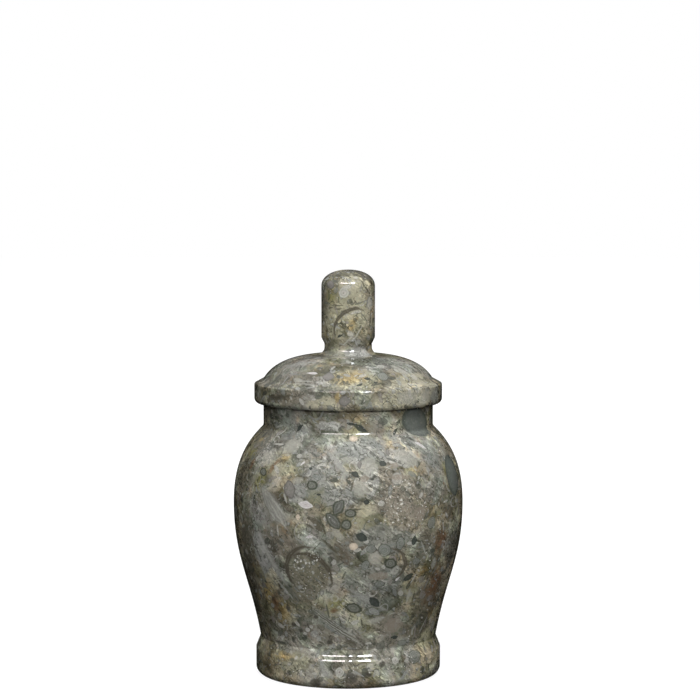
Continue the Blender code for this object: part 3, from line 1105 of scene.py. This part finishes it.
@dataclass(frozen=True)
class FossilStone:
    """Polished fossil limestone: a mottled ground with shells, stains, streaks and grit, and painted
    highlights on the lid.

    Each layer is laid over the one before it. Scales are patches or cells to a millimetre.
    """

    inclusions: tuple[InclusionOrHighlight, ...]
    name: str = "polished_fossil_stone"
    ground: Stops = (
        (0.28, (0.056, 0.055, 0.041)),
        (0.39, (0.120, 0.116, 0.090)),
        (0.48, (0.190, 0.186, 0.155)),
        (0.57, (0.262, 0.260, 0.228)),
        (0.70, (0.370, 0.370, 0.338)),
    )
    warm: Colour = (1.06, 1.0, 0.85)
    cool: Colour = (0.95, 1.0, 1.07)
    mauve: Colour = (1.05, 0.98, 0.96)
    olive: Colour = (0.98, 1.01, 0.93)
    lump_tones: Stops = ((0.0, (0.56, 0.56, 0.54)), (0.5, (0.95, 0.95, 0.95)), (1.0, (1.42, 1.41, 1.37)))
    lump_share: float = 0.9
    seam_shade: Colour = (0.05, 0.05, 0.035)
    seam_share: float = 0.7
    sheet_turn: Trio = (0.25, math.radians(40.0), 0.2)
    sheet_size: Trio = (16.0, 10.0, 1.3)
    sheet_tones: Stops = (
        (0.30, (0.35, 0.35, 0.32)),
        (0.42, (0.85, 0.85, 0.82)),
        (0.50, (1.0, 1.0, 1.0)),
        (0.58, (1.15, 1.15, 1.14)),
        (0.68, (1.9, 1.9, 1.85)),
    )
    shards: tuple[Shards, ...] = (
        Shards(150.0, 7.0, 2.6, 0.55),
        Shards(170.0, 3.2, 1.0, 0.75),
        Shards(190.0, 1.5, 0.6, 0.75),
    )
    shard_turn: Trio = (0.2, math.radians(35.0), 0.3)
    shard_tones: Stops = (
        (0.0, (0.42, 0.42, 0.40)),
        (0.22, (0.80, 0.80, 0.78)),
        (0.60, (1.0, 1.0, 1.0)),
        (0.85, (1.14, 1.14, 1.13)),
        (1.0, (1.60, 1.60, 1.56)),
    )
    rims: tuple[Rims, ...] = (Rims(210.0, 4.2, 0.05), Rims(230.0, 2.4, 0.07))
    rim_shade: Colour = (0.06, 0.06, 0.048)
    rim_share: float = 0.8
    stains: Stops = ((300.0, (1.35, 1.02, 0.60)), (420.0, (1.10, 0.80, 0.66)), (540.0, (1.0, 1.02, 0.80)))
    fills: Stops = (
        (0.0, (0.055, 0.060, 0.050)),
        (0.16, (0.10, 0.105, 0.088)),
        (0.34, (0.16, 0.168, 0.155)),
        (0.52, (0.20, 0.185, 0.165)),
        (0.66, (0.25, 0.255, 0.24)),
        (0.86, (0.36, 0.355, 0.32)),
    )
    rings: Stops = (
        (0.0, (0.62, 0.62, 0.62)),
        (0.12, (1.10, 1.10, 1.10)),
        (0.42, (1.0, 1.0, 1.0)),
        (0.56, (0.80, 0.80, 0.80)),
        (0.68, (1.12, 1.12, 1.12)),
        (0.84, (1.0, 1.0, 1.0)),
        (0.93, (0.45, 0.45, 0.43)),
        (1.0, (0.70, 0.70, 0.68)),
    )
    shoals: tuple[Shoal, ...] = (
        Shoal(13.0, (5.5, 3.6, 4.6), 0.42, 0.55, hollow=True, shift=17.0),
        Shoal(8.5, (3.2, 2.1, 2.7), 0.46, 0.60),
        Shoal(6.0, (2.9, 1.0, 2.3), 0.55, 0.75, pointed=True, shift=31.0),
        Shoal(5.0, (2.6, 1.9, 2.3), 0.55, 0.70, hollow=True, shift=43.0),
        Shoal(3.9, (1.6, 1.0, 1.3), 0.35, 0.65, shift=53.0),
        Shoal(6.5, (4.2, 0.45, 2.8), 0.70, 0.70, pointed=True, shift=71.0),
        Shoal(2.4, (1.2, 0.38, 0.9), 0.60, 0.70, pointed=True, shift=97.0),
    )
    scatter: float = 0.85
    sands: tuple[Sand, ...] = (
        Sand(11.0, 1.1, (0.38, 0.37, 0.33), 0.7, 0.30),
        Sand(23.0, 1.7, (0.08, 0.078, 0.066), 0.75, 0.17, marked=True),
        Sand(37.0, 1.7, (0.56, 0.55, 0.50), 0.8, 0.26),
    )
    sandy_part: float = 0.7
    grain_tones: Stops = ((0.3, (0.70, 0.70, 0.68)), (0.5, (1.0, 1.0, 1.0)), (0.7, (1.32, 1.32, 1.32)))
    roughness: float = 0.05
    worn_roughness: float = 0.125
    wave_height: float = 0.00012
    wave_strength: float = 0.35

    def base(self, graph: Graph, place: Socket) -> Socket:
        """The mottled ground, warm in some parts and cool in others."""
        flow = graph.swirl(place, 0.045, 20.0, 2.0)
        colour = graph.ramp(graph.noise(flow, 0.075, 9.0, 0.64), self.ground)
        drift = graph.patches(place, 0.045, 3.0, (0.38, 0.62), shift=200.0)
        colour = graph.mix(1.0, colour, graph.mix(drift, self.cool, self.warm), "MULTIPLY")
        patch = graph.patches(graph.crumble(flow, colour), 0.11, 3.0, (0.42, 0.58), shift=260.0)
        return graph.mix(1.0, colour, graph.mix(patch, self.olive, self.mauve), "MULTIPLY")

    def lumps(self, graph: Graph, place: Socket, below: Socket) -> Socket:
        """Broken lumps, each a little darker or lighter, with a dark seam round some."""
        place = graph.crumble(place, below)
        torn = graph.swirl(place, 0.16, 7.0, 3.0)
        dice = graph.parts(graph.cells(torn, 0.075)["Color"])[0]
        colour = graph.mix(self.lump_share, below, graph.ramp(dice, self.lump_tones), "MULTIPLY")
        seam = graph.step(graph.cracks(torn, 0.11), 0.035, 0.005)
        where = graph.patches(place, 0.09, 2.0, (0.5, 0.6))
        return graph.mix(graph.product(seam, where, self.seam_share), colour, self.seam_shade)

    def sheets(self, graph: Graph, place: Socket, below: Socket) -> Socket:
        """Thin slanting layers, where the mud was laid down in sheets."""
        place = graph.crumble(place, below)
        bedded = graph.bedding(graph.swirl(place, 0.05, 12.0, 2.0), self.sheet_turn, self.sheet_size)
        tone = graph.ramp(graph.noise(bedded, 1.0, 5.0, 0.6), self.sheet_tones)
        where = graph.patches(place, 0.05, 2.0, (0.44, 0.60), (0.10, 0.5), shift=90.0)
        return graph.mix(where, below, tone, "MULTIPLY")

    def splinters(self, graph: Graph, place: Socket, below: Socket, shards: Shards) -> Socket:
        """Small torn splinters of shell, lighter or darker, mostly lying the way the mud slid."""
        length, width, part = shards.length, shards.width, shards.part
        spot = graph.swirl(graph.crumble(place, below, 0.5 * width), 0.11, 1.6 * length, 3.0)
        bedded = graph.bedding(spot, self.shard_turn, (length, 0.6 * length, width), shards.shift)
        dice = graph.parts(graph.cells(bedded, 1.0)["Color"])[0]
        tone = graph.ramp(dice, self.shard_tones)
        share = (0.12 * part, 1.15 * part)
        where = graph.patches(place, 0.07, 2.0, (0.42, 0.60), share, shards.shift)
        return graph.mix(where, below, tone, "MULTIPLY")

    def outlines(self, graph: Graph, place: Socket, below: Socket, rims: Rims) -> Socket:
        """Thin dark rims round lumps, broken off here and there."""
        torn = graph.swirl(graph.crumble(place, below, 0.6), 0.3, 2.4, 2.0)
        spot = graph.vector("ADD", torn, rims.shift)
        rim = graph.step(graph.cracks(spot, 1.0 / rims.cell), rims.width, 0.3 * rims.width)
        kept = graph.patches(spot, 0.9 / rims.cell, 1.0, (0.56, 0.62))
        return graph.mix(graph.product(rim, kept, self.rim_share), below, self.rim_shade)

    def stained(self, graph: Graph, place: Socket, below: Socket) -> Socket:
        """Ochre, rust and moss green, in clouds and along veins."""
        flow = graph.swirl(graph.crumble(place, below), 0.12, 9.0, 3.0)
        colour = below
        for shift, tint in self.stains:
            spot = graph.crumble(flow, colour)
            share = graph.patches(spot, 0.085, 4.0, (0.58, 0.76), (0.0, 0.55), shift, 0.6)
            colour = graph.mix(share, colour, graph.mix(1.0, colour, tint, "MULTIPLY"))
        return colour

    def strewn(self, graph: Graph, place: Socket, below: Socket, shoal: Shoal) -> Socket:
        """Lays one shoal of fossils over the stone.

        Args:
            graph: The stone's graph.
            place: Object coordinates in millimetres.
            below: The stone so far.
            shoal: The fossils.

        Returns:
            The stone with the fossils in it.
        """
        place = graph.crumble(place, below, 0.8 * shoal.half_axes[1])
        spot = graph.vector("ADD", place, shoal.shift)
        cells = graph.cells(spot, 1.0 / shoal.cell, self.scatter)
        local = graph.vector("SUBTRACT", spot, cells["Position"])
        feeds = {"Vector": local, "Rotation": graph.scaled(cells["Color"], math.tau)}
        turned = graph.node("ShaderNodeVectorRotate", feeds, rotation_type="EULER_XYZ")
        shape = graph.vector("DIVIDE", turned.outputs[0], shoal.half_axes)
        side = graph.parts(shape)["X"]
        if shoal.pointed:
            reach = graph.pointed(side, graph.vector("MULTIPLY", shape, (0.0, 1.0, 1.0)))
        else:
            reach = graph.vector("LENGTH", shape)
        dice = graph.node("ShaderNodeTexWhiteNoise", {"Vector": cells["Position"]}, noise_dimensions="3D")
        chance = graph.parts(dice.outputs["Color"])
        reach = graph.math("DIVIDE", reach, graph.math("MULTIPLY_ADD", chance["Y"], 0.55, 0.6))
        inside = graph.step(reach, 1.04, 0.94)
        if shoal.hollow:
            inside = graph.math("MULTIPLY", inside, graph.step(reach, 0.80, 0.88))
            inside = graph.math("MULTIPLY", inside, graph.step(side, -0.3, 0.1))
        crowding = (0.4 * shoal.crowding, 1.6 * shoal.crowding)
        crowd = graph.patches(place, 0.05, 2.0, (0.35, 0.65), crowding, shoal.shift)
        held = graph.math("LESS_THAN", chance["X"], crowd)
        colour = graph.ramp(chance["Z"], self.fills, hold=True)
        if not shoal.hollow:
            colour = graph.mix(1.0, colour, graph.ramp(reach, self.rings), "MULTIPLY")
        return graph.mix(graph.product(inside, held, shoal.share), below, colour)

    def sanded(self, graph: Graph, place: Socket, below: Socket, beds: dict[Kind, Socket]) -> Socket:
        """Fine sand: pale and dark specks, thick in some parts.

        Args:
            graph: The stone's graph.
            place: Object coordinates in millimetres.
            below: The stone so far.
            beds: How much of each bedded kind there is.

        Returns:
            The stone with sand in it.
        """
        colour = below
        sandy = graph.math("MULTIPLY", beds[Kind.SANDY], self.sandy_part)
        pale = graph.math("MAXIMUM", beds[Kind.SPECKLED], sandy)
        for sand in self.sands:
            rich = beds[Kind.MARKED] if sand.marked else pale
            torn = graph.swirl(graph.crumble(place, colour), 0.8, 1.6, 2.0)
            cells = graph.cells(graph.vector("ADD", torn, sand.shift), 1.0 / sand.cell)
            zone = graph.patches(place, 0.06, 2.0, (0.48, 0.68), (0.02, 0.24), sand.shift)
            limit = graph.math("MULTIPLY_ADD", rich, sand.growth, zone)
            speck = graph.step(cells["Distance"], limit, graph.math("MULTIPLY", limit, 0.6))
            dice = graph.parts(cells["Color"])["X"]
            held = graph.math("LESS_THAN", dice, graph.math("MULTIPLY_ADD", rich, 0.2, 0.45))
            colour = graph.mix(graph.product(speck, held, sand.part), colour, sand.shade)
        tone = graph.ramp(graph.noise(place, 1.3, 3.0, 0.7), self.grain_tones)
        coarse = graph.patches(place, 0.08, 2.0, (0.42, 0.60), (0.35, 0.9), shift=350.0)
        return graph.mix(coarse, colour, tone, "MULTIPLY")

    def reach(self, kind: Kind, skins: Skins) -> bpy.types.NodeTree | None:
        """Builds the group that finds how far a place is from the nearest inclusion or painted highlight of
        a kind.

        Args:
            kind: The kind.
            skins: The turned outlines.

        Returns:
            The group, from Place to Reach, or None if there is no such inclusion.
        """
        members = [inclusion for inclusion in self.inclusions if inclusion.kind is kind]
        if not members:
            return None
        tree = bpy.data.node_groups.new(f"{kind.name.lower()}_reach", "ShaderNodeTree")
        tree.interface.new_socket("Place", in_out="INPUT", socket_type="NodeSocketVector")
        tree.interface.new_socket("Reach", in_out="OUTPUT", socket_type="NodeSocketFloat")
        graph = Graph(tree)
        place = graph.node("NodeGroupInput").outputs[0]
        nearest = members[0].distance(graph, place, skins)
        for inclusion in members[1:]:
            nearest = graph.math("MINIMUM", nearest, inclusion.distance(graph, place, skins))
        graph.node("NodeGroupOutput", {0: nearest})
        return tree

    def chosen(
        self, graph: Graph, place: Socket, below: Socket, skins: Skins, bedded: bool
    ) -> tuple[Socket, dict[Kind, Socket]]:
        """Lays the inclusions and painted highlights that have a chosen place, kind by kind.

        Args:
            graph: The stone's graph.
            place: Object coordinates in millimetres.
            below: The stone so far.
            skins: The turned outlines.
            bedded: True for the kinds that are part of the ground, False for the others.

        Returns:
            The stone with them in it, and how much of each kind there is.
        """
        colour, shares = below, {}
        scale, swirl = (0.16, 4.5) if bedded else (0.45, 1.1)
        crumbled = graph.swirl(graph.crumble(place, below), scale, swirl, 4.0)
        edge = graph.math("SUBTRACT", graph.noise(place, 0.5, 3.0), 0.5)
        for kind in Kind:
            look = kind.look
            tree = self.reach(kind, skins) if look.bedded is bedded else None
            if tree is None:
                continue
            nearest = graph.node("ShaderNodeGroup", {}, node_tree=tree)
            graph.feed(nearest.inputs[0], crumbled)
            reach = graph.math("MULTIPLY_ADD", edge, look.ragged * 2.0, nearest.outputs[0])
            shares[kind] = graph.step(reach, 1.0 + look.soft / 2, 1.0 - look.soft, 0.0, look.share)
            colour = graph.mix(shares[kind], colour, graph.ramp(reach, look.stops))
        return colour, shares

    def polish(self, graph: Graph, place: Socket, shader: bpy.types.Node) -> None:
        """Sets the gloss, a little duller in worn patches, and the faint waves left by the grinding."""
        worn = graph.patches(
            place, 0.8, 4.0, (0.35, 0.75), (self.roughness, self.worn_roughness), roughness=0.6
        )
        graph.feed(shader.inputs["Roughness"], worn)
        wave = graph.noise(place, 0.16, 5.0, 0.45)
        feeds = {"Height": wave, "Strength": self.wave_strength, "Distance": self.wave_height}
        graph.feed(shader.inputs["Normal"], graph.node("ShaderNodeBump", feeds).outputs[0])

    def material(self, skins: Skins) -> bpy.types.Material:
        """Builds the stone.

        Args:
            skins: The outlines that the chosen inclusions and painted highlights lie on.

        Returns:
            The material.
        """
        material = bpy.data.materials.new(self.name)
        material.use_nodes = True
        graph = Graph(material.node_tree)
        shader = material.node_tree.nodes["Principled BSDF"]
        place = graph.scaled(graph.node("ShaderNodeTexCoord").outputs["Object"], MM_PER_M)
        colour = self.lumps(graph, place, self.base(graph, place))
        colour, beds = self.chosen(graph, place, colour, skins, True)
        colour = self.sheets(graph, place, colour)
        for shards in self.shards:
            colour = self.splinters(graph, place, colour, shards)
        for rims in self.rims:
            colour = self.outlines(graph, place, colour, rims)
        colour = self.stained(graph, place, colour)
        for shoal in self.shoals:
            colour = self.strewn(graph, place, colour, shoal)
        colour, _ = self.chosen(graph, place, colour, skins, False)
        graph.feed(shader.inputs["Base Color"], self.sanded(graph, place, colour, beds))
        self.polish(graph, place, shader)
        return material


@dataclass(frozen=True)
class Lamp:
    """A rectangular light that faces the urn.

    The bearing is 0 towards the camera and grows to the right. A softbox shows in the polish
    alone, and any other lamp lights the stone alone.
    """

    name: str
    bearing_deg: float
    elevation_deg: float
    size: Point
    watts: float
    distance: float
    softbox: bool = False
    colour: Colour = WHITE

    def hang(self, aim_z: float, blockers: bpy.types.Collection) -> None:
        """Hangs the light.

        Args:
            aim_z: Height of the point that it faces, on the urn's axis.
            blockers: What casts a shadow in its light.
        """
        data = bpy.data.lights.new(self.name, "AREA")
        data.shape = "RECTANGLE"
        data.size, data.size_y = self.size
        data.energy = self.watts
        data.color = self.colour
        light = placed(self.name, data)
        bearing, elevation = math.radians(self.bearing_deg), math.radians(self.elevation_deg)
        level = self.distance * math.cos(elevation)
        rise = self.distance * math.sin(elevation)
        light.location = (level * math.sin(bearing), -level * math.cos(bearing), aim_z + rise)
        light.rotation_euler = (math.radians(90.0) - elevation, 0.0, bearing)
        light.visible_camera = False
        light.visible_glossy = self.softbox
        light.visible_diffuse = not self.softbox
        light.light_linking.blocker_collection = blockers


@dataclass
class Studio:
    """A pale floor, a white room, strip lights, soft fill and the camera."""

    camera_place: Trio = (0.0008, -1.1435, 0.2358)
    camera_pitch_deg: float = 4.655
    camera_sight: float = 50.0
    focal_pixels: float = 2615.8
    sensor_mm: float = 36.0
    floor_radius: float = 4.0
    floor_shade: Colour = (0.12, 0.12, 0.12)
    floor_roughness: float = 0.9
    floor_glow: Stops = ((0.1, (0.90, 0.90, 0.90)), (0.6, (1.0, 1.0, 1.0)))
    ring_steps: int = 96
    flag_height: float = 0.1080
    flag_radii: Span = (0.0397, 0.1100)
    ceiling_glow: float = 0.9
    ceiling_span_deg: Span = (8.0, 70.0)
    lamps: tuple[Lamp, ...] = (
        Lamp("left_box", -20.3, 38.0, (0.56, 0.20), 8.5, 1.2, True, PINKISH),
        Lamp("middle_box", 3.4, 38.0, (0.034, 0.20), 2.4, 1.2, True, BLUISH),
        Lamp("right_box", 23.1, 38.0, (0.296, 0.24), 26.0, 1.2, True, BLUISH),
        Lamp("key", 5.0, 56.0, (0.9, 0.7), 22.0, 1.4),
        Lamp("fill", 2.0, 16.0, (0.8, 0.8), 30.0, 2.0),
        Lamp("right_fill", 85.0, 45.0, (0.8, 0.8), 3.5, 2.0),
        Lamp("back_left", -145.0, 25.0, (0.8, 0.8), 14.0, 2.0),
        Lamp("back_right", 145.0, 25.0, (0.8, 0.8), 14.0, 2.0),
        Lamp("back", 180.0, 40.0, (0.9, 0.7), 12.0, 1.4),
    )

    def camera(self) -> None:
        """Makes the camera at the photograph's viewing angle."""
        data = bpy.data.cameras.new("camera")
        data.sensor_width = self.sensor_mm
        data.lens = self.sensor_mm * self.focal_pixels / PHOTO_PIXELS
        data.clip_end = self.camera_sight
        camera = placed("camera", data)
        camera.location = self.camera_place
        camera.rotation_euler = (math.radians(90.0 - self.camera_pitch_deg), 0.0, 0.0)
        bpy.context.scene.camera = camera

    def flag(self) -> bpy.types.Object:
        """Hangs a ring that keeps the softboxes' mirror images off the belly; it is seen by nothing else."""
        count = self.ring_steps
        corners = [
            (*toward((0.0, 0.0), 360.0 * i / count, radius), self.flag_height)
            for radius in self.flag_radii
            for i in range(count)
        ]
        faces = [(i, (i + 1) % count, count + (i + 1) % count, count + i) for i in range(count)]
        mesh = bpy.data.meshes.new("flag")
        mesh.from_pydata(corners, [], faces)
        flag = placed("flag", mesh)
        for rays in ("camera", "diffuse", "glossy", "transmission"):
            setattr(flag, f"visible_{rays}", False)
        return flag

    def floor(self) -> bpy.types.Object:
        """Lays the floor, almost as white as the room, with a faint shade where the urn stands."""
        bpy.ops.mesh.primitive_circle_add(
            vertices=self.ring_steps, radius=self.floor_radius, fill_type="NGON"
        )
        floor = bpy.context.object
        floor.name = "floor"
        material = bpy.data.materials.new("pale_floor")
        material.use_nodes = True
        graph = Graph(material.node_tree)
        inputs = material.node_tree.nodes["Principled BSDF"].inputs
        inputs["Base Color"].default_value = (*self.floor_shade, 1.0)
        inputs["Roughness"].default_value = self.floor_roughness
        inputs["Specular IOR Level"].default_value = 0.0
        inputs["Emission Strength"].default_value = 1.0
        away = graph.vector("LENGTH", graph.node("ShaderNodeTexCoord").outputs["Object"])
        graph.feed(inputs["Emission Color"], graph.ramp(away, self.floor_glow))
        floor.data.materials.append(material)
        floor.visible_glossy = False
        floor.visible_diffuse = False
        return floor

    def room(self) -> None:
        """Makes the room white to the camera; the polish sees only a soft glow from its ceiling."""
        world = bpy.data.worlds.new("room")
        world.use_nodes = True
        graph = Graph(world.node_tree)
        inputs = world.node_tree.nodes["Background"].inputs
        direction = graph.node("ShaderNodeTexCoord").outputs["Generated"]
        low, high = (math.sin(math.radians(angle)) for angle in self.ceiling_span_deg)
        glow = graph.step(graph.parts(direction)["Z"], low, high, 0.0, self.ceiling_glow)
        seen = graph.node("ShaderNodeLightPath").outputs["Is Camera Ray"]
        graph.feed(inputs["Color"], 1.0)
        graph.feed(inputs["Strength"], graph.math("MAXIMUM", seen, glow))
        world.cycles_visibility.diffuse = False
        bpy.context.scene.world = world

    def build(self, jar: bpy.types.Object, lid: bpy.types.Object) -> None:
        """Sets the studio up.

        Args:
            jar: The jar.
            lid: The lid.
        """
        bpy.context.scene.view_settings.view_transform = "Standard"
        self.camera()
        self.room()
        floor, flag = self.floor(), self.flag()
        flagged, free = (bpy.data.collections.new(name) for name in ("flagged", "free"))
        for blockers, third in ((flagged, flag), (free, floor)):
            for piece in (jar, lid, third):
                blockers.objects.link(piece)
        aim_z = (CAD_BOX[0][2] + CAD_BOX[1][2]) / 2
        for lamp in self.lamps:
            lamp.hang(aim_z, flagged if lamp.softbox else free)


def main() -> None:
    """Builds the urn and its studio."""
    logging.basicConfig(level=logging.INFO, format="%(name)s: %(message)s")
    lathe, jar, lid = Lathe(), Jar(), Lid()
    inclusions = laid(BEDS, BELLY_LEFT, BELLY_RIGHT, LID_AND_FOOT)
    stone = FossilStone(inclusions).material((jar.outline(), lid.outline()))
    pieces = (jar.build(lathe, stone), lid.build(lathe, stone))
    for piece in pieces:
        log.info("%s: %d faces", piece.name, len(piece.data.polygons))
    Studio().build(*pieces)


if __name__ == "__main__":
    main()
